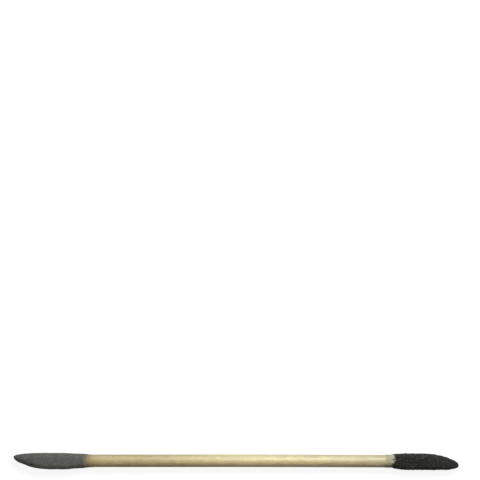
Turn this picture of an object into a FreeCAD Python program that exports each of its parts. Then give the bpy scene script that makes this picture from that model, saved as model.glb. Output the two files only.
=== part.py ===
import FreeCAD, Part
import os

# A wooden sanding stick, grit-coated at both ends, lying on its broad side.
# X runs along the stick from the fine end to the coarse end, Z is up, and the
# origin is on the surface below the middle of the stick. Lengths are in mm.
#
# Each tip is a spear whose sides swell from the nose as quarters of a
# superellipse: the back side over a short run, the bevelled side over a long
# one. The bevel of the fine tip faces -Y and that of the coarse tip +Y.
DIMENSIONS = {
    "overall_length": 142.0,
    "shaft_radius": 2.0,
    "axis_height": 2.15,
    "axis_offset": 0.13,
    "nose_flat": 0.1,
    "round_half_thickness": 2.59,
    "glue_depth": 0.2,
    "glue_edge_radius": 2.08,
    "fine_coat_length": 22.8,
    "fine_glue_margin": 0.6,
    "fine_nose_offset": 1.3,
    "fine_back_width": 2.5,
    "fine_back_run": 8.0,
    "fine_bevel_width": 2.69,
    "fine_bevel_run": 11.6,
    "fine_bevel_power": 1.8,
    "fine_waist_run": 16.0,
    "fine_collar_radius": 2.2,
    "coarse_coat_length": 20.8,
    "coarse_glue_margin": 3.1,
    "coarse_nose_offset": 1.45,
    "coarse_back_width": 2.75,
    "coarse_back_run": 6.0,
    "coarse_bevel_width": 2.45,
    "coarse_bevel_run": 11.0,
    "coarse_bevel_power": 1.7,
    "coarse_waist_run": 17.5,
    "coarse_collar_radius": 2.3,
    "thin_run": 10.0,
    "thin_power": 1.5,
    "back_power": 2.0,
}

# which way each tip points along X
ENDS = {"fine": -1, "coarse": 1}

# distances from a layer's nose of the sections that shape its rounded point
NOSE_RUNS = ("0", "0.4", "1.2", "2.7", "5", "8", "11.6")

# sections from the waist, where a tip begins to narrow, to its collar on the shaft
NECK_SHARES = ("0", "0.3", "0.65", "1")

# an ellipse drawn in XY turned to stand across X, its long axis along Y
ACROSS = FreeCAD.Rotation(FreeCAD.Vector(1, 1, 1), 120)


def make_sheet(doc):
    """The driving dimensions, one aliased cell each."""
    sheet = doc.addObject("Spreadsheet::Sheet", "Dimensions")
    for row, (alias, value) in enumerate(DIMENSIONS.items(), start=1):
        sheet.set(f"A{row}", str(value))
        sheet.setAlias(f"A{row}", alias)
    doc.recompute()


def cell(alias):
    return f"Dimensions.{alias}"


def swell(distance, run, power):
    """The share of its full size that a side has reached at a distance from the nose."""
    left = f"(1 - min(1; ({distance} + {cell('nose_flat')}) / {cell(run)}))"
    return f"((1 - {left} ^ {cell(power)}) ^ (1 / {cell(power)}))"


def layer_skin(tip, layer):
    """How far a layer's surface lies below the grit coat's, and the tip's broadest half-width."""
    broad = f"(({cell(tip + '_back_width')} + {cell(tip + '_bevel_width')}) / 2)"
    coat = f"({broad} - {cell('shaft_radius')})"
    skins = {"grit": "0", "glue": f"({coat} - {cell('glue_depth')})", "wood": coat}
    return skins[layer], broad


def add_section(doc, tip, layer, number, place, swell_at, neck="0", radius="0"):
    """An ellipse across the stick at a place measured from the tip's end.

    Its shape is the spear's at swell_at from the nose. neck is its share of the
    way from that shape to the collar, a circle of the given radius.
    """
    end = ENDS[tip]
    skin, broad = layer_skin(tip, layer)
    nose = cell(f"{tip}_nose_offset")
    back = cell(f"{tip}_back_width")
    bevel = cell(f"{tip}_bevel_width")
    back_side = f"({nose} + ({back} - {nose}) * {swell(swell_at, tip + '_back_run', 'back_power')})"
    bevel_swell = swell(swell_at, f"{tip}_bevel_run", f"{tip}_bevel_power")
    bevel_side = f"(({bevel} + {nose}) * {bevel_swell} - {nose})"
    inner_share = f"(1 - {skin} / {broad})"
    half_width = f"(({back_side} + {bevel_side}) / 2 * {inner_share})"
    # the grit is round until its flats are cut, and thicker on one side; the
    # layers inside it are oval and centred on the shaft
    full_thickness = cell("round_half_thickness")
    uneven = "0"
    if layer != "grit":
        full_thickness = f"({cell('axis_height')} - {skin})"
        uneven = f"({back} - {bevel})"
    half_thickness = f"({full_thickness} * {swell(swell_at, 'thin_run', 'thin_power')})"
    shift = f"(({back_side} - {bevel_side} - {uneven}) / 2 * {inner_share} * (1 - {neck}))"

    ellipse = doc.addObject("Part::Ellipse", f"{tip}_{layer}_section_{number}")
    ellipse.Placement.Rotation = ACROSS
    ellipse.setExpression("MajorRadius", f"{half_width} * (1 - {neck}) + {radius} * {neck}")
    ellipse.setExpression("MinorRadius", f"{half_thickness} * (1 - {neck}) + {radius} * {neck}")
    ellipse.setExpression("Placement.Base.x", f"{end} * ({cell('overall_length')} / 2 - ({place}))")
    ellipse.setExpression("Placement.Base.y", f"{cell('axis_offset')} - {end} * {shift}")
    ellipse.setExpression("Placement.Base.z", cell("axis_height"))
    return ellipse


def make_spear(doc, tip, layer):
    """The solid inside one layer's surface: wood alone, wood and glue, or the whole tip."""
    skin, _ = layer_skin(tip, layer)
    waist = cell(f"{tip}_waist_run")
    edge = cell(f"{tip}_coat_length")
    if layer != "grit":
        edge = f"({edge} + {cell(tip + '_glue_margin')})"
    radii = {"grit": f"{tip}_collar_radius", "glue": "glue_edge_radius", "wood": "shaft_radius"}

    sections = []
    belly = f"({NOSE_RUNS[-1]} + {waist}) / 2"
    for run in (*NOSE_RUNS, belly):
        sections.append(add_section(doc, tip, layer, len(sections), f"{skin} + {run}", run))
    for share in NECK_SHARES:
        place = f"{waist} + ({edge} - {waist}) * {share}"
        radius = cell(radii[layer])
        sections.append(add_section(doc, tip, layer, len(sections), place, waist, share, radius))

    spear = doc.addObject("Part::Loft", f"{tip}_{layer}_spear")
    spear.Sections = sections
    spear.Solid = True
    spear.Ruled = False
    return spear


def make_shaft(doc):
    """The bare round stretch between the two glue margins."""
    shaft = doc.addObject("Part::Cylinder", "shaft")
    shaft.Placement.Rotation = FreeCAD.Rotation(FreeCAD.Vector(0, 1, 0), 90)
    hidden = {tip: f"({cell(tip + '_coat_length')} + {cell(tip + '_glue_margin')})" for tip in ENDS}
    shaft.setExpression("Radius", cell("shaft_radius"))
    shaft.setExpression("Height", f"{cell('overall_length')} - {hidden['fine']} - {hidden['coarse']}")
    shaft.setExpression("Placement.Base.x", f"{hidden['fine']} - {cell('overall_length')} / 2")
    shaft.setExpression("Placement.Base.y", cell("axis_offset"))
    shaft.setExpression("Placement.Base.z", cell("axis_height"))
    return shaft


def make_dowel(doc):
    """The wooden core: a round shaft whose two ends are whittled to bevelled spears."""
    dowel = doc.addObject("Part::MultiFuse", "dowel")
    dowel.Shapes = [make_shaft(doc)] + [make_spear(doc, tip, "wood") for tip in ENDS]
    dowel.Refine = False
    return dowel


def make_glue_coat(doc, tip, spear, dowel):
    """The skin of glue between the wood and the grit."""
    coat = doc.addObject("Part::Cut", f"{tip}_glue_coat")
    coat.Base = spear
    coat.Tool = dowel
    return coat


def make_slab(doc):
    """The space between the surface that the stick lies on and its upper flats."""
    slab = doc.addObject("Part::Box", "slab")
    slab.setExpression("Length", f"{cell('overall_length')} + 2")
    slab.setExpression("Width", f"4 * {cell('coarse_back_width')}")
    slab.setExpression("Height", f"2 * {cell('axis_height')}")
    slab.setExpression("Placement.Base.x", f"-{cell('overall_length')} / 2 - 1")
    slab.setExpression("Placement.Base.y", f"-2 * {cell('coarse_back_width')}")
    return slab


def make_grit_coat(doc, tip, glue_spear, slab):
    """The grit layer, flat below and above where the tip is broadest, so that it lies steady."""
    outside = doc.addObject("Part::Common", f"{tip}_outside")
    outside.Base = make_spear(doc, tip, "grit")
    outside.Tool = slab
    coat = doc.addObject("Part::Cut", f"{tip}_grit_coat")
    coat.Base = outside
    coat.Tool = glue_spear
    return coat


def check(doc, pieces):
    for item in doc.Objects:
        if "Invalid" in item.State or "Error" in item.State:
            raise RuntimeError(f"{item.Name} failed: {item.State}")
    for piece in pieces:
        if piece.Shape.isNull() or not piece.Shape.isValid():
            raise RuntimeError(f"{piece.Label} has no valid shape")
        if len(piece.Shape.Solids) != 1:
            raise RuntimeError(f"{piece.Label} is not one solid")


def main():
    doc = FreeCAD.newDocument("sanding_stick")
    make_sheet(doc)
    dowel = make_dowel(doc)
    slab = make_slab(doc)
    pieces = [dowel]
    for tip in ENDS:
        glue_spear = make_spear(doc, tip, "glue")
        pieces.append(make_glue_coat(doc, tip, glue_spear, dowel))
        pieces.append(make_grit_coat(doc, tip, glue_spear, slab))
    for piece in pieces:
        piece.Label = piece.Name
    doc.recompute()
    check(doc, pieces)

    os.makedirs("parts", exist_ok=True)
    for piece in pieces:
        piece.Shape.exportStep(f"parts/{piece.Label}.step")
        box = piece.Shape.BoundBox
        print(
            f"{piece.Label}: volume {piece.Shape.Volume:.1f} mm3,"
            f" X {box.XMin:.2f} to {box.XMax:.2f},"
            f" Y {box.YMin:.2f} to {box.YMax:.2f},"
            f" Z {box.ZMin:.2f} to {box.ZMax:.2f}"
        )


main()
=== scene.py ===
"""A double-ended sanding stick lying on a pale floor, seen from straight above.

The CAD frame gives every surface: rays cast at a node find its outside, and the
visible pieces are closed grids laid on those points, with the relief of wood,
glue and grit added. X runs along the stick from its fine end to its coarse end,
and Y is up in the picture. Lengths are in millimetres unless a comment says
otherwise.
"""

import itertools
import math

import bpy
import numpy as np
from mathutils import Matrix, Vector, kdtree, noise
from mathutils.bvhtree import BVHTree


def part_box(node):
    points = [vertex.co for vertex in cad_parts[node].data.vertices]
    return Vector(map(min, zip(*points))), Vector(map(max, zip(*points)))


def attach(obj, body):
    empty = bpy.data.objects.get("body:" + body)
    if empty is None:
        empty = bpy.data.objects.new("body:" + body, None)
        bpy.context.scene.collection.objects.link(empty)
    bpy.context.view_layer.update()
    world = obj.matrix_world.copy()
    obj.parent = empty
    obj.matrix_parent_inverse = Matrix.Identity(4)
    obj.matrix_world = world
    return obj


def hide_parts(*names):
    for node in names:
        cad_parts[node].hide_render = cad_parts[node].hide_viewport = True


# metres in a millimetre
MM = 0.001

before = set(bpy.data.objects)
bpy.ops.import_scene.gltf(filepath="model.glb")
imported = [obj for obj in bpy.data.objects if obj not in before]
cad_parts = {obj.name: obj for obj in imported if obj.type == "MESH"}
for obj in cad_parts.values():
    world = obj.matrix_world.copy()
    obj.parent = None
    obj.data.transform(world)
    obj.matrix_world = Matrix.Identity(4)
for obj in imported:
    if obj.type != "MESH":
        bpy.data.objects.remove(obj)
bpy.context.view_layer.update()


# ---------------------------------------------------------------- surfaces

DOWEL_LOW, DOWEL_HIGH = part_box("dowel")

# the shaft's axis, which is level with the middle of the dowel's box
AXIS_Y = 0.13
AXIS_Z = (DOWEL_LOW.z + DOWEL_HIGH.z) / 2 / MM

# rays start this far from the axis, outside every node
RAY_START = 9.0

# a node's ends are looked for this far inside them, where a ray can't miss
END_INSET = 0.004

# the stick isn't quite straight: its middle lies a little to +Y of its ends
BOW = 0.05
BOW_HALF_SPAN = 70


class NodeSurface:
    """The outside of a CAD node, found by rays towards the middle of each cross-section."""

    def __init__(self, node):
        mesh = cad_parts[node].data
        corners = [tuple(vertex.co / MM) for vertex in mesh.vertices]
        faces = [tuple(polygon.vertices) for polygon in mesh.polygons]
        self.tree = BVHTree.FromPolygons(corners, faces)
        low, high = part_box(node)
        self.start = low.x / MM + END_INSET
        self.stop = high.x / MM - END_INSET

    def hit(self, x, middle, angle):
        """Where a ray from outside, aimed at the middle of the section at x, meets the node."""
        out = Vector((0, math.cos(angle), math.sin(angle)))
        start = Vector((x, middle, AXIS_Z)) + out * RAY_START
        place, _, _, _ = self.tree.ray_cast(start, -out)
        return place

    def grid(self, places, angles):
        """Points round the node, a row for each place along X.

        Past the node's ends they keep the shape of its last section.
        """
        rows = []
        for x in places:
            inside = min(max(x, self.start), self.stop)
            middle = (self.hit(inside, AXIS_Y, 0).y + self.hit(inside, AXIS_Y, math.pi).y) / 2
            hits = [self.hit(inside, middle, angle) for angle in angles]
            rows.append([(x, place.y, place.z) for place in hits])
        return np.array(rows)


def round_angles(columns):
    """Angles evenly spaced round the stick, from +Y up and over."""
    return [2 * math.pi * column / columns for column in range(columns)]


def normals_of(grid):
    """Outward unit normals of a grid that closes on itself round the stick."""
    along = np.gradient(grid, axis=0)
    around = np.roll(grid, -1, axis=1) - np.roll(grid, 1, axis=1)
    normals = np.cross(along, around)
    normals /= np.maximum(np.linalg.norm(normals, axis=2, keepdims=True), 1e-12)
    outward = grid - grid.mean(axis=1, keepdims=True)
    flip = np.sign((normals * outward).sum(axis=2, keepdims=True))
    return normals * np.where(flip == 0, 1, flip)


def softened(grid, reach):
    """A grid whose ridges along the stick are rounded off, over a reach given in columns."""
    for _ in range(2 * reach**2):
        grid = (np.roll(grid, 1, axis=1) + 2 * grid + np.roll(grid, -1, axis=1)) / 4
    return grid


def sample(grid, scale, measure=noise.noise):
    """A noise measure at every grid point, whose X, Y and Z are first multiplied by scale."""
    flat = grid.reshape(-1, 3) * np.array(scale)
    values = [measure(Vector(point)) for point in flat]
    return np.array(values).reshape(grid.shape[:2])


def layered_noise(grid, layers):
    """Relief summed from layers, each a noise scale and the height of its noise."""
    return sum(height * sample(grid, scale) for scale, height in layers.values())


def soft_step(values):
    """0 below 0, 1 above 1, and a smooth rise between."""
    values = np.clip(values, 0, 1)
    return values * values * (3 - 2 * values)


def enclosed_volume(mesh):
    """The signed volume of a closed mesh, negative if its faces point inwards."""
    mesh.calc_loop_triangles()
    corners = np.empty(len(mesh.vertices) * 3)
    mesh.vertices.foreach_get("co", corners)
    corners = corners.reshape(-1, 3)
    triangles = np.empty(len(mesh.loop_triangles) * 3, dtype=np.int64)
    mesh.loop_triangles.foreach_get("vertices", triangles)
    a, b, c = (corners[triangles.reshape(-1, 3)[:, k]] for k in range(3))
    return float((a * np.cross(b, c)).sum() / 6)


def closed_mesh(name, grid, first_pole, last_pole, smooth):
    """A closed piece, bowed, from a grid of rows and the two points that close its ends."""
    rows, columns, _ = grid.shape
    points = np.vstack([grid.reshape(-1, 3), first_pole, last_pole])
    points[:, 1] += BOW * np.cos(math.pi * points[:, 0] / BOW_HALF_SPAN)
    points *= MM
    first, last = rows * columns, rows * columns + 1
    faces = []
    for row in range(rows - 1):
        here, there = row * columns, (row + 1) * columns
        for column in range(columns):
            after = (column + 1) % columns
            faces.append((here + column, here + after, there + after, there + column))
    tail = (rows - 1) * columns
    for column in range(columns):
        after = (column + 1) % columns
        faces.append((first, after, column))
        faces.append((last, tail + column, tail + after))
    mesh = bpy.data.meshes.new(name)
    mesh.from_pydata(points.tolist(), [], faces)
    mesh.update()
    if enclosed_volume(mesh) < 0:
        mesh.flip_normals()
    mesh.polygons.foreach_set("use_smooth", [smooth] * len(mesh.polygons))
    piece = bpy.data.objects.new(name, mesh)
    bpy.context.scene.collection.objects.link(piece)
    return piece


# ---------------------------------------------------------------- the wooden core

WOOD_COLUMNS = 156
WOOD_STEP = 0.3

# the bare stretch, whose rows are evenly spaced, and the rows of each whittled end
BARE_START, BARE_STOP = -50.0, 52.0
END_ROWS = 16
END_CROWDING = 1.5

# the wood's relief: how far it stands over the CAD, its layers of noise, and its pores,
# which open where their own noise is over a threshold
WOOD_LIFT = 0.006
WOOD_LAYERS = {
    "grooves": ((0.09, 3.2, 3.2), 0.014),
    "fibres": ((0.35, 7.0, 7.0), 0.008),
    "wander": ((0.05, 0.4, 0.4), 0.03),
}
PORE_SCALE = (0.8, 5.5, 5.5)
PORE_THRESHOLD = 0.42
PORE_RISE = 0.2
PORE_DEPTH = 0.035

dowel = NodeSurface("dowel")


def make_wood():
    """The dowel, with shallow grooves along its grain, small pores and a little wander."""
    share = np.linspace(0, 1, END_ROWS, endpoint=False) ** END_CROWDING
    fine_end = dowel.start + (BARE_START - dowel.start) * share
    coarse_end = dowel.stop + (BARE_STOP - dowel.stop) * share
    bare = np.arange(BARE_START, BARE_STOP, WOOD_STEP)
    places = np.concatenate([fine_end, bare, coarse_end[::-1]])
    grid = dowel.grid(places, round_angles(WOOD_COLUMNS))
    pores = soft_step((sample(grid, PORE_SCALE) - PORE_THRESHOLD) / PORE_RISE)
    relief = WOOD_LIFT + layered_noise(grid, WOOD_LAYERS) - PORE_DEPTH * pores
    grid = grid + normals_of(grid) * relief[:, :, None]
    return closed_mesh("wood_dowel", grid, grid[0].mean(axis=0), grid[-1].mean(axis=0), True)


# ---------------------------------------------------------------- glue and grit coats

# the nose of a coat closes in a small dome, with rings at these shares of its width
NOSE_BULGE = 0.06
NOSE_RINGS = (0.3, 0.6, 0.85)

# over 1, this brings the outside's rows closer together near the nose
NOSE_CROWDING = 1.25

# a coat's inside lies this far under the surface it is on, and so does its end on bare wood
SINK = 0.035

# the inside's rows, which start this far back from the outside's last row
INNER_TURN = 3.0
INNER_ROWS = 17
INNER_CROWDING = 0.8

# noise scales of the large and small lobes of a coat's edge
WIDE_LOBES = (0.15, 0.5, 0.5)
CLOSE_LOBES = (0.5, 2.6, 2.6)

# angles round the stick
UPWARD = math.pi / 2
TO_MINUS_Y = math.pi


class Coat:
    """A coat of glue or grit, as grids of points from its nose to a length along the stick.

    outside is the coat's CAD surface, wood is the surface of the wood under it, and
    pole is the point that closes its nose. distance is measured from the pole along X.
    """

    def __init__(self, tip, node, length, rows, columns, softening=0):
        self.tip = tip
        self.angles = round_angles(columns)
        nose, inward = (node.start, 1) if tip == "fine" else (node.stop, -1)
        places = nose + inward * length * np.linspace(0, 1, rows) ** NOSE_CROWDING
        body = node.grid(places, self.angles)
        first = body[0]
        self.pole = first.mean(axis=0) - np.array([inward * NOSE_BULGE, 0, 0])
        dome = []
        for share in NOSE_RINGS:
            ring = self.pole + (first - self.pole) * share
            ring[:, 0] = self.pole[0] + inward * NOSE_BULGE * share**2
            dome.append(ring)
        self.outside = softened(np.concatenate([np.array(dome), body]), softening)
        self.wood = dowel.grid([*[places[0]] * len(dome), *places], self.angles)
        self.normals = normals_of(self.outside)
        self.distance = np.abs(self.outside[:, :, 0] - self.pole[0])

    def facing(self, towards):
        """1 on the side that faces an angle round the stick, falling to 0 a quarter turn away."""
        return np.maximum(np.cos(np.array(self.angles) - towards), 0)[None, :]

    def cover(self, edge, feather, wide, close, seed):
        """1 where the coat is whole and 0 where the wood is bare, with a ragged edge between.

        edge is its distance from the nose, feather the width over which it thins out,
        and wide and close are the reach of its large and small lobes.
        """
        shifted = self.outside + np.array([seed, 0, 0])
        border = edge + wide * sample(shifted, WIDE_LOBES) + close * sample(shifted, CLOSE_LOBES)
        return soft_step((border - self.distance) / feather + 0.5)

    def laid(self, cover, thickness, relief):
        """The visible surface, from its share of the CAD coat's thickness and the relief on that."""
        surface = self.wood + (self.outside - self.wood) * thickness[:, :, None]
        surface += self.normals * (relief - SINK * (1 - cover))[:, :, None]
        surface[:, :, 2] = np.maximum(surface[:, :, 2], 0)
        return surface

    def close(self, name, surface, under, smooth):
        """A closed piece from the visible surface and a hidden inside on the node under it."""
        nose = under.start if self.tip == "fine" else under.stop
        edge = surface[-1, 0, 0]
        turn = edge + math.copysign(INNER_TURN, nose - edge)
        places = turn + (nose - turn) * np.linspace(0, 1, INNER_ROWS) ** INNER_CROWDING
        inside = under.grid(places, self.angles)
        inside = inside - normals_of(inside) * SINK
        grid = np.concatenate([surface, inside])
        return closed_mesh(name, grid, self.pole, inside[-1].mean(axis=0), smooth)


# the film is thinner and thicker in streaks, as shares of the CAD coat's thickness
STREAK_SCALE = (0.5, 4.0, 4.0)
FILM_THICKNESS = 0.75
STREAK_THICKNESS = 0.35


def make_glue(name, tip, node, length, edge, feather, raggedness, seed):
    """The skin of glue under a grit coat, which runs out in streaks on the bare wood."""
    coat = Coat(tip, node, length, rows=120, columns=150)
    cover = coat.cover(edge, feather, raggedness, raggedness, seed)
    streaks = FILM_THICKNESS + STREAK_THICKNESS * sample(coat.outside, STREAK_SCALE)
    surface = coat.laid(cover, cover * streaks, 0)
    return coat.close(name, surface, dowel, True)


# the fine coat's relief: how far it stands over the CAD, its layers of noise, and its
# grains, whose height is counted from a point between their middles and their edges
FINE_LIFT = 0.06
FINE_LAYERS = {
    "lumps": ((0.5, 0.8, 0.8), 0.05),
    "clumps": ((2.2, 2.6, 2.6), 0.035),
}
FINE_GRAIN_SCALE = (6.5, 6.5, 6.5)
FINE_GRAIN_HEIGHT = 0.075
FINE_GRAIN_MIDDLE = 0.45

# the share of the relief that stays where the coat thins out to nothing
FINE_EDGE_RELIEF = 0.25

# the edge's distance from the nose, and how far it is drawn back above
FINE_EDGE = 23.7
TOP_RECESS = 0.8

# the fine coat is thinner at one spot of its bevel, at this distance from the nose
THIN_SPOT_PLACE = 3.2
THIN_SPOT_REACH = 1.5
THIN_SPOT_DEPTH = 0.2


def make_fine_grit(node, under):
    """A thin even coat of small grains, which thins out over the last millimetre and a half."""
    coat = Coat("fine", node, length=25.4, rows=300, columns=190, softening=5)
    edge = FINE_EDGE - TOP_RECESS * coat.facing(UPWARD) ** 2
    cover = coat.cover(edge, feather=1.6, wide=0.4, close=0.7, seed=3)
    grains = sample(coat.outside, FINE_GRAIN_SCALE, lambda place: noise.voronoi(place)[0][0])
    relief = FINE_LIFT + layered_noise(coat.outside, FINE_LAYERS)
    relief += FINE_GRAIN_HEIGHT * (FINE_GRAIN_MIDDLE - grains)
    spot = np.exp(-(((coat.distance - THIN_SPOT_PLACE) / THIN_SPOT_REACH) ** 2))
    relief -= THIN_SPOT_DEPTH * spot * coat.facing(TO_MINUS_Y) ** 2
    relief *= FINE_EDGE_RELIEF + (1 - FINE_EDGE_RELIEF) * cover
    surface = coat.laid(cover, cover, relief)
    return coat.close("fine_grit_layer", surface, under, False)


# coarse grains lie at random, but at least a gap apart: of the places tried, the rest are
# dropped. The height of a point comes from the few grains nearest to it.
SEED = 20
GRAIN_GAP = 0.24
GRAIN_TRIES = 9000
NEAREST_GRAINS = 8

# a grain has a cap and six sides: the ranges of their tilts in radians, their distances
# from its centre, and how far a side strays from its turn round the grain
FACETS = 7
CAP_TILT = (0, 0.6)
CAP_REACH = (0.1, 0.22)
SIDE_TILT = (0.7, 1.25)
SIDE_REACH = (0.11, 0.24)
SIDE_TURN = (-0.35, 0.35)

# the least cosine between a facet and the coat that is reckoned with, however steep it is
STEEPEST = 0.15

# the grains' bed lies this deep in the coat, and their centres are raised over it by a
# range. What shows of them keeps to a range of heights over the bed.
GRAIN_BED = 0.16
GRAIN_LIFT = (-0.12, 0.05)
GRAIN_LOWEST, GRAIN_HIGHEST = -0.05, 0.34

# the rest of the coarse coat's relief: how far it stands over the CAD, and its noise
COARSE_LIFT = -0.075
COARSE_LAYERS = {
    "lumps": ((0.6, 0.8, 0.8), 0.06),
    "clumps": ((1.6, 1.6, 1.6), 0.05),
}

# the edge's distance from the nose, and the bite out of it on the side at an angle
COARSE_EDGE = 20.9
BITE_ANGLE = math.radians(60)
BITE_DEPTH = 0.85

# the coarse coat is thicker towards its nose, which is drawn in along X
NOSE_THICKENING = 0.08
THICKENING_REACH = 4.0
NOSE_BLUNTING = 0.2
BLUNTING_REACH = 1.2


def grain_facets(rng, normal):
    """The planes of one angular grain: a tilted cap and a ring of steep sides."""
    side = Vector(normal).orthogonal().normalized()
    other = Vector(normal).cross(side)
    turn = rng.uniform(0, 2 * math.pi)
    planes = []
    for facet in range(FACETS):
        if facet == 0:
            tilt = rng.uniform(*CAP_TILT)
            reach = rng.uniform(*CAP_REACH)
            around = rng.uniform(0, 2 * math.pi)
        else:
            tilt = rng.uniform(*SIDE_TILT)
            reach = rng.uniform(*SIDE_REACH)
            around = turn + (facet + rng.uniform(*SIDE_TURN)) * 2 * math.pi / (FACETS - 1)
        flat = math.cos(around) * np.array(side) + math.sin(around) * np.array(other)
        planes.append((*(math.sin(tilt) * flat + math.cos(tilt) * normal), reach))
    return planes


def spaced_apart(points, order, gap):
    """The numbers of the points that, in this order, are over a gap from all taken before."""
    cells = {}
    taken = []
    for index in order:
        place = points[index]
        x, y, z = np.floor(place / gap).astype(int)
        near = [
            other
            for dx, dy, dz in itertools.product((-1, 0, 1), repeat=3)
            for other in cells.get((x + dx, y + dy, z + dz), ())
        ]
        if all(np.linalg.norm(points[other] - place) > gap for other in near):
            cells.setdefault((x, y, z), []).append(index)
            taken.append(index)
    return taken


def nearest_of(points, taken, count):
    """For every point, which few of the points taken are nearest, as places in taken."""
    tree = kdtree.KDTree(len(taken))
    for number, index in enumerate(taken):
        tree.insert(Vector(points[index]), number)
    tree.balance()
    return np.array([[found[1] for found in tree.find_n(Vector(point), count)] for point in points])


def grain_heights(surface, normals, rng):
    """How high angular grains, scattered evenly over the surface, stand above each point."""
    points = surface.reshape(-1, 3)
    outward = normals.reshape(-1, 3)
    along = np.linalg.norm(np.gradient(surface, axis=0), axis=2)
    around = np.linalg.norm(np.roll(surface, -1, axis=1) - surface, axis=2)
    area = (along * around).ravel()
    order = rng.choice(len(points), size=GRAIN_TRIES, replace=False, p=area / area.sum())
    taken = spaced_apart(points, order, GRAIN_GAP)
    planes = np.array([grain_facets(rng, outward[index]) for index in taken])
    lift = rng.uniform(*GRAIN_LIFT, len(taken))
    centres = points[taken] + outward[taken] * lift[:, None]
    near = nearest_of(points, taken, NEAREST_GRAINS)
    best = np.full(len(points), -1.0)
    for rank in range(NEAREST_GRAINS):
        facet = planes[near[:, rank]]
        offset = points - centres[near[:, rank]]
        beyond = facet[:, :, 3] - (facet[:, :, :3] * offset[:, None, :]).sum(axis=2)
        steep = np.maximum((facet[:, :, :3] * outward[:, None, :]).sum(axis=2), STEEPEST)
        best = np.maximum(best, (beyond / steep).min(axis=1))
    return best.reshape(surface.shape[:2])


def make_coarse_grit(node, under):
    """A lumpy coat of large angular grains with an abrupt, uneven edge."""
    rng = np.random.default_rng(SEED)
    coat = Coat("coarse", node, length=22.4, rows=330, columns=250, softening=6)
    edge = COARSE_EDGE - BITE_DEPTH * coat.facing(BITE_ANGLE) ** 4
    cover = coat.cover(edge, feather=0.55, wide=0.3, close=0.9, seed=11)
    heights = grain_heights(coat.outside - coat.normals * GRAIN_BED, coat.normals, rng)
    relief = np.clip(heights, GRAIN_LOWEST, GRAIN_HIGHEST) + COARSE_LIFT
    relief += layered_noise(coat.outside, COARSE_LAYERS)
    relief += NOSE_THICKENING * np.exp(-coat.distance / THICKENING_REACH)
    surface = coat.laid(cover, cover, relief * cover)
    surface[:, :, 0] -= NOSE_BLUNTING * np.exp(-coat.distance / BLUNTING_REACH)
    coat.pole[0] -= NOSE_BLUNTING
    return coat.close("coarse_grit_layer", surface, under, False)


# ---------------------------------------------------------------- shader nodes


def set_input(tree, socket, value):
    """Link a socket to another one, or give it a value. A colour of three parts is made opaque."""
    if isinstance(value, bpy.types.NodeSocket):
        tree.links.new(value, socket)
    elif socket.type == "RGBA":
        socket.default_value = (*value[:3], 1.0)
    else:
        socket.default_value = value


def add_node(tree, kind, inputs=None, **settings):
    """A node with its settings and inputs."""
    node = tree.nodes.new(kind)
    for key, value in settings.items():
        setattr(node, key, value)
    for key, value in (inputs or {}).items():
        set_input(tree, node.inputs[key], value)
    return node


def new_material(name, roughness, specular):
    """A material, its node tree and its shader."""
    material = bpy.data.materials.new(name)
    material.use_nodes = True
    shader = material.node_tree.nodes["Principled BSDF"]
    shader.inputs["Roughness"].default_value = roughness
    shader.inputs["Specular IOR Level"].default_value = specular
    return material, material.node_tree, shader


def places_in_mm(tree, scale=(1, 1, 1), shift=(0, 0, 0)):
    """Positions on the object in millimetres, stretched by scale, as a socket."""
    coordinates = add_node(tree, "ShaderNodeTexCoord").outputs["Object"]
    scaled = tuple(part / MM for part in scale)
    inputs = {"Vector": coordinates, "Scale": scaled, "Location": shift}
    return add_node(tree, "ShaderNodeMapping", inputs).outputs["Vector"]


def noise_at(tree, scale, detail=3.0, roughness=0.5, shift=(0, 0, 0)):
    """Noise from about 0.3 to 0.7, whose scale is per mm along X, Y and Z."""
    inputs = {
        "Vector": places_in_mm(tree, scale, shift),
        "Scale": 1.0,
        "Detail": detail,
        "Roughness": roughness,
    }
    return add_node(tree, "ShaderNodeTexNoise", inputs).outputs["Fac"]


def along_stick(tree, start, stop, axis="X"):
    """0 to 1 as X, or the coordinate that axis names, goes from start to stop."""
    vector = places_in_mm(tree)
    place = add_node(tree, "ShaderNodeSeparateXYZ", {"Vector": vector}).outputs[axis]
    inputs = {"Value": place, "From Min": start, "From Max": stop}
    return add_node(tree, "ShaderNodeMapRange", inputs, clamp=True).outputs["Result"]


def ranged(tree, value, low, high):
    """A value from 0 to 1 spread from low to high."""
    inputs = {"Value": value, "To Min": low, "To Max": high}
    return add_node(tree, "ShaderNodeMapRange", inputs).outputs["Result"]


def ramp(tree, factor, *stops):
    """A colour or grey that changes with a factor. Each stop is a place and a colour or number."""
    node = add_node(tree, "ShaderNodeValToRGB", {"Fac": factor})
    elements = node.color_ramp.elements
    while len(elements) < len(stops):
        elements.new(1.0)
    for element, (place, colour) in zip(elements, stops):
        element.position = place
        if isinstance(colour, (int, float)):
            colour = (colour, colour, colour)
        element.color = (*colour, 1.0)
    return node.outputs["Color"]


def blend(tree, factor, first, second, mode="MIX"):
    """Two colours mixed by a factor from 0 to 1, in a mode."""
    inputs = {0: factor, 6: first, 7: second}
    node = add_node(tree, "ShaderNodeMix", inputs, data_type="RGBA", blend_type=mode)
    return node.outputs[2]


def shaded(tree, tone, strength, pattern, *stops):
    """A colour multiplied by a ramp over a pattern, with a strength from 0 to 1."""
    return blend(tree, strength, tone, ramp(tree, pattern, *stops), "MULTIPLY")


def maths(tree, operation, first, second):
    """The result of one operation on two numbers."""
    node = add_node(tree, "ShaderNodeMath", {0: first, 1: second}, operation=operation)
    return node.outputs["Value"]


def give_bump(tree, shader, height, distance, strength):
    """Fine relief too small for the mesh. distance is its full height."""
    inputs = {"Height": height, "Distance": distance * MM, "Strength": strength}
    bump = add_node(tree, "ShaderNodeBump", inputs)
    tree.links.new(bump.outputs["Normal"], shader.inputs["Normal"])


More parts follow.
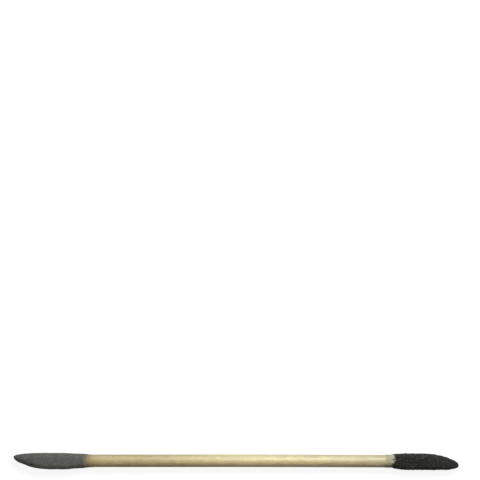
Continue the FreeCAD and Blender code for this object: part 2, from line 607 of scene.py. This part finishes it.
# ---------------------------------------------------------------- materials

# the stretch over which the wood's tones change, and their places along it
WOOD_SPAN = (-49, 49)
WOOD_TONES = (
    (0.00, (0.36, 0.28, 0.13)),
    (0.06, (0.44, 0.352, 0.157)),
    (0.22, (0.46, 0.365, 0.165)),
    (0.40, (0.53, 0.433, 0.21)),
    (0.55, (0.58, 0.49, 0.25)),
    (0.78, (0.562, 0.475, 0.239)),
    (1.00, (0.41, 0.355, 0.19)),
)

# painted shade and painted sheen: the wood is darker and browner round to -Y, the side away from the
# key light, and greyer and bluer round to +Y
SHADE_AND_SHEEN_SPAN = (-2, 2)
SHADE_AND_SHEEN_TINTS = (
    (0.05, (0.80, 0.715, 0.62)),
    (0.28, (0.905, 0.82, 0.753)),
    (0.48, (1.0, 1.0, 1.0)),
    (0.74, (1.0, 1.0, 1.0)),
    (0.92, (0.88, 0.93, 1.06)),
)

# the wood is drier and rougher at its fine end: places along it and roughnesses
WOOD_ROUGHNESS = ((0.0, 0.72), (0.5, 0.54), (1.0, 0.58))
ROUGHNESS_SPREAD = 0.07

FLECK_BROWN = (0.25, 0.15, 0.06)

# stretches of Y over which a look changes from nothing to its full strength: the glue film's painted
# shade, its pale scratches, and the fine grit's painted light
FILM_SHADE_SIDE = (0.2, -1.4)
FROST_SIDE = (-1.1, 0.1)
PAINTED_LIGHT_SIDE = (-1.0, -2.7)

FROST_GREY = (0.32, 0.32, 0.275)
DUST_BLACK = (0.03, 0.03, 0.026)
DUST_UNEVENNESS = 2.4

# the fine grit holds on longer at both sides: where that begins and is full, and by how much
HOLD_START, HOLD_STOP = 0.8, 2.3
HOLD = 0.5


def wood_colour(tree):
    """Pale wood, darker towards its ends, streaked along the grain, with small brown flecks, painted
    shade on its -Y side and a painted sheen on its +Y side.

    The pattern of its fibres comes back with the colour.
    """
    tone = ramp(tree, along_stick(tree, *WOOD_SPAN), *WOOD_TONES)
    # painted shade darkens and browns the -Y side, and a painted sheen greys and blues the +Y side
    tone = shaded(tree, tone, 1.0, along_stick(tree, *SHADE_AND_SHEEN_SPAN, "Y"), *SHADE_AND_SHEEN_TINTS)
    grain = noise_at(tree, (0.06, 1.9, 1.9), detail=5.0, roughness=0.6)
    tone = shaded(tree, tone, 0.75, grain, (0.3, 0.74), (0.5, 0.97), (0.7, 1.12))
    fibres = noise_at(tree, (0.25, 6.0, 6.0))
    tone = shaded(tree, tone, 0.6, fibres, (0.3, 0.8), (0.55, 1.0), (0.75, 1.1))
    mottle = noise_at(tree, (0.38, 0.6, 0.6), detail=2.0)
    tone = shaded(tree, tone, 0.8, mottle, (0.3, 0.88), (0.7, 1.08))
    flecks = noise_at(tree, (0.75, 5.0, 5.0), detail=2.0, shift=(7, 3, 1))
    fleck_share = ramp(tree, flecks, (0.62, 0.0), (0.72, 0.6))
    return blend(tree, fleck_share, tone, FLECK_BROWN), fibres


def wood_material():
    """Bare wood, rougher in some places than in others."""
    material, tree, shader = new_material("pale_wood", roughness=0.55, specular=1.0)
    colour, fibres = wood_colour(tree)
    tree.links.new(colour, shader.inputs["Base Color"])
    uneven = noise_at(tree, (0.4, 4.0, 4.0), detail=2.0)
    spread = ranged(tree, uneven, -ROUGHNESS_SPREAD, ROUGHNESS_SPREAD)
    roughness = ramp(tree, along_stick(tree, *WOOD_SPAN), *WOOD_ROUGHNESS)
    tree.links.new(maths(tree, "ADD", roughness, spread), shader.inputs["Roughness"])
    give_bump(tree, shader, fibres, distance=0.03, strength=0.5)
    return material


def frosted(tree, colour, start, stop):
    """A colour with pale scratches on its +Y side, from none at start to most at stop."""
    scratches = noise_at(tree, (0.7, 6.0, 6.0), detail=2.0, shift=(1, 6, 2))
    frost = ramp(tree, scratches, (0.4, 0.25), (0.6, 1.0))
    frost = maths(tree, "MULTIPLY", frost, along_stick(tree, start, stop))
    frost = maths(tree, "MULTIPLY", frost, along_stick(tree, *FROST_SIDE, "Y"))
    return blend(tree, frost, colour, FROST_GREY)


def dusted(tree, colour, start, stop):
    """A colour with streaks and specks of dark dust, from none at start to most at stop."""
    streaks = noise_at(tree, (0.5, 2.2, 2.2), detail=2.0, shift=(5, 1, 8))
    specks = noise_at(tree, (3.5, 6.0, 6.0), detail=2.0, shift=(2, 2, 7))
    both = maths(tree, "SUBTRACT", maths(tree, "ADD", streaks, specks), 1.0)
    uneven = maths(tree, "MULTIPLY", both, DUST_UNEVENNESS)
    dust = maths(tree, "ADD", along_stick(tree, start, stop), uneven)
    return blend(tree, ramp(tree, dust, (0.25, 0.0), (0.75, 0.85)), colour, DUST_BLACK)


def glue_material(name, tint, shade_tint, most, clear, dense, frosty=None, dusty=None):
    """Wood seen through a film, which hides none of it at clear, and most of it at dense.

    The film's tint changes to a darker one towards -Y, a painted shade. frosty and dusty are where
    scratches and dust from the grit start, and where there are most of them.
    """
    material, tree, shader = new_material(name, roughness=0.7, specular=0.2)
    colour, _ = wood_colour(tree)
    streaks = noise_at(tree, (0.5, 4.5, 4.5), roughness=0.6, shift=(2, 9, 4))
    share = maths(tree, "MULTIPLY", along_stick(tree, clear, dense), most)
    share = maths(tree, "MULTIPLY", share, ramp(tree, streaks, (0.3, 0.7), (0.65, 1.0)))
    # painted shade: the film is darker towards -Y
    film = blend(tree, along_stick(tree, *FILM_SHADE_SIDE, "Y"), tint, shade_tint)
    colour = blend(tree, share, colour, film)
    if frosty:
        colour = frosted(tree, colour, *frosty)
    if dusty:
        colour = dusted(tree, colour, *dusty)
    tree.links.new(colour, shader.inputs["Base Color"])
    give_bump(tree, shader, streaks, distance=0.04, strength=0.5)
    return material


def thinned(tree, tone, start, stop, stain):
    """Grit that thins out from start to stop, less so at the two sides, and shows a stain."""
    speckle = noise_at(tree, (2.0, 3.0, 3.0), detail=2.0)
    uneven = maths(tree, "SUBTRACT", speckle, 0.5)
    share = maths(tree, "ADD", along_stick(tree, start, stop), uneven)
    for side in (1, -1):
        beside = along_stick(tree, HOLD_START * side, HOLD_STOP * side, "Y")
        share = maths(tree, "SUBTRACT", share, maths(tree, "MULTIPLY", beside, HOLD))
    return blend(tree, ramp(tree, share, (0.1, 0.0), (0.9, 0.85)), tone, stain)


def grit_material(name, dark, light, grain, roughness, painted_light=1.0, thin=None):
    """Mineral grit: grains of different greys and gloss, in soft larger patches.

    grain is their number per mm, painted_light is how much lighter painted light makes them at the
    -Y edge, and thin is where the coat starts and ends to thin out, and the colour that then shows.
    """
    material, tree, shader = new_material(name, roughness, specular=0.2)
    inputs = {"Vector": places_in_mm(tree), "Scale": grain}
    cells = add_node(tree, "ShaderNodeTexVoronoi", inputs)
    split = add_node(tree, "ShaderNodeSeparateColor", {"Color": cells.outputs["Color"]})
    tone = blend(tree, split.outputs["Red"], dark, light)
    patches = noise_at(tree, (0.6, 0.9, 0.9))
    tone = shaded(tree, tone, 0.8, patches, (0.3, 0.82), (0.7, 1.15))
    # painted light: the grit is made lighter towards its -Y edge, in place of light that edge
    # doesn't get
    beside = along_stick(tree, *PAINTED_LIGHT_SIDE, "Y")
    tone = shaded(tree, tone, 1.0, beside, (0.0, 1.0), (1.0, painted_light))
    if thin:
        tone = thinned(tree, tone, *thin)
    tree.links.new(tone, shader.inputs["Base Color"])
    gloss = ranged(tree, split.outputs["Green"], roughness - 0.2, roughness + 0.1)
    tree.links.new(gloss, shader.inputs["Roughness"])
    fine = noise_at(tree, (grain * 1.5,) * 3, detail=2.0)
    give_bump(tree, shader, fine, distance=0.05, strength=0.6)
    return material


# ---------------------------------------------------------------- the stick

fine_glue = NodeSurface("fine_glue_coat")
coarse_glue = NodeSurface("coarse_glue_coat")
fine_grit = NodeSurface("fine_grit_coat")
coarse_grit = NodeSurface("coarse_grit_coat")

wood_piece = make_wood()
fine_film = make_glue(
    "fine_glue_film",
    "fine",
    fine_glue,
    length=26.2,
    edge=24.7,
    feather=0.8,
    raggedness=0.6,
    seed=5,
)
coarse_film = make_glue(
    "coarse_glue_film",
    "coarse",
    coarse_glue,
    length=25.4,
    edge=23.4,
    feather=0.9,
    raggedness=0.9,
    seed=17,
)
fine_layer = make_fine_grit(fine_grit, fine_glue)
coarse_layer = make_coarse_grit(coarse_grit, coarse_glue)

pale_wood = wood_material()
stained_glue = glue_material(
    "stained_glue",
    tint=(0.20, 0.16, 0.09),
    shade_tint=(0.18, 0.15, 0.09),
    most=0.8,
    clear=-46.0,
    dense=-48.0,
)
dusty_glue = glue_material(
    "dusty_glue",
    tint=(0.30, 0.285, 0.19),
    shade_tint=(0.17, 0.165, 0.11),
    most=0.95,
    clear=46.3,
    dense=48.2,
    frosty=(48.0, 49.8),
    dusty=(49.2, 51.6),
)
fine_grey = grit_material(
    "fine_grit",
    dark=(0.068, 0.070, 0.061),
    light=(0.122, 0.124, 0.112),
    grain=7.0,
    roughness=0.85,
    painted_light=1.5,
    thin=(-49.4, -47.6, (0.22, 0.18, 0.10)),
)
coarse_black = grit_material(
    "coarse_grit",
    dark=(0.009, 0.0095, 0.008),
    light=(0.03, 0.031, 0.028),
    grain=3.4,
    roughness=0.6,
)

# each CAD node, the piece that stands for it, its slot in the record and its material
PIECES = (
    ("dowel", wood_piece, "wood", pale_wood),
    ("fine_glue_coat", fine_film, "glue", stained_glue),
    ("coarse_glue_coat", coarse_film, "glue", dusty_glue),
    ("fine_grit_coat", fine_layer, "fine_grit", fine_grey),
    ("coarse_grit_coat", coarse_layer, "coarse_grit", coarse_black),
)
for node, piece, slot, material in PIECES:
    piece.data.materials.append(material)
    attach(piece, "root")
    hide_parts(node)


# ---------------------------------------------------------------- studio

FLOOR_SIZE = 6000
FLOOR_GREY = 0.15
FLOOR_GLOW = 0.9
WHITE = (1, 1, 1)

# the key light comes from +Y and the two fills from -Y
KEY_TILT = math.radians(42)
KEY_DISTANCE = 340
FILL_TILT = math.radians(-65)
FILL_DISTANCE = 500
SIDE_FILL_HEIGHT = 10


def make_floor():
    """A pale floor that glows a little, so that the stick's shadow on it is faint."""
    half = FLOOR_SIZE / 2 * MM
    mesh = bpy.data.meshes.new("floor")
    corners = [(-half, -half, 0), (half, -half, 0), (half, half, 0), (-half, half, 0)]
    mesh.from_pydata(corners, [], [(0, 1, 2, 3)])
    floor = bpy.data.objects.new("floor", mesh)
    bpy.context.scene.collection.objects.link(floor)
    material, tree, shader = new_material("pale_floor", roughness=0.9, specular=0.1)
    set_input(tree, shader.inputs["Base Color"], (FLOOR_GREY,) * 3)
    set_input(tree, shader.inputs["Emission Color"], WHITE)
    set_input(tree, shader.inputs["Emission Strength"], FLOOR_GLOW)
    mesh.materials.append(material)
    floor.visible_glossy = False
    floor.visible_diffuse = False


def overhead(x, tilt, distance):
    """A point at a distance from the stick, tilted from straight above towards +Y."""
    return (x, distance * math.sin(tilt), distance * math.cos(tilt))


def add_area_light(name, place, aim, size, power):
    """A soft rectangular light, whose power is in watts."""
    light = bpy.data.lights.new(name, "AREA")
    light.shape = "RECTANGLE"
    light.size, light.size_y = size[0] * MM, size[1] * MM
    light.energy = power
    lamp = bpy.data.objects.new(name, light)
    bpy.context.scene.collection.objects.link(lamp)
    where, target = Vector(place) * MM, Vector(aim) * MM
    lamp.location = where
    lamp.rotation_euler = (target - where).to_track_quat("-Z", "Y").to_euler()
    lamp.visible_camera = False


def make_world(above, below, backdrop):
    """A dim room: light from above, light bounced from below, and a pale backdrop to look at."""
    world = bpy.data.worlds.new("studio")
    world.use_nodes = True
    tree = world.node_tree
    background = tree.nodes["Background"]
    set_input(tree, background.inputs["Color"], WHITE)
    direction = add_node(tree, "ShaderNodeTexCoord").outputs["Generated"]
    height = add_node(tree, "ShaderNodeSeparateXYZ", {"Vector": direction}).outputs["Z"]
    upward = maths(tree, "GREATER_THAN", height, 0.0)
    light = maths(tree, "ADD", maths(tree, "MULTIPLY", upward, above - below), below)
    direct = add_node(tree, "ShaderNodeLightPath").outputs["Is Camera Ray"]
    inputs = {0: direct, 2: light, 3: backdrop}
    strength = add_node(tree, "ShaderNodeMix", inputs, data_type="FLOAT")
    tree.links.new(strength.outputs[0], background.inputs["Strength"])
    bpy.context.scene.world = world


def make_camera(view_width, centre, distance, roll):
    """A long lens looking straight down, whose picture is view_width wide at the stick."""
    data = bpy.data.cameras.new("camera")
    data.sensor_width = 36
    data.lens = data.sensor_width * distance / view_width
    # the clipping distances are in metres
    data.clip_start, data.clip_end = 0.05, 20
    camera = bpy.data.objects.new("camera", data)
    camera.location = Vector((centre[0], centre[1], AXIS_Z + distance)) * MM
    camera.rotation_euler = (0, 0, roll)
    bpy.context.scene.collection.objects.link(camera)
    bpy.context.scene.camera = camera


make_floor()
add_area_light(
    "key",
    overhead(100, KEY_TILT, KEY_DISTANCE),
    aim=(30, 0, 0),
    size=(200, 140),
    power=1.85,
)
add_area_light(
    "fill",
    overhead(0, FILL_TILT, FILL_DISTANCE),
    aim=(0, 0, 0),
    size=(400, 200),
    power=0.2,
)
add_area_light(
    "side_fill",
    (0, -FILL_DISTANCE, SIDE_FILL_HEIGHT),
    aim=(0, 0, 0),
    size=(500, 60),
    power=0.3,
)
make_world(above=0.1, below=0.46, backdrop=0.9)
bpy.context.scene.view_settings.view_transform = "Standard"

# the stick lies near the lower edge of the picture
make_camera(view_width=153.2, centre=(1.07, 70.64), distance=1250, roll=math.radians(0.06))
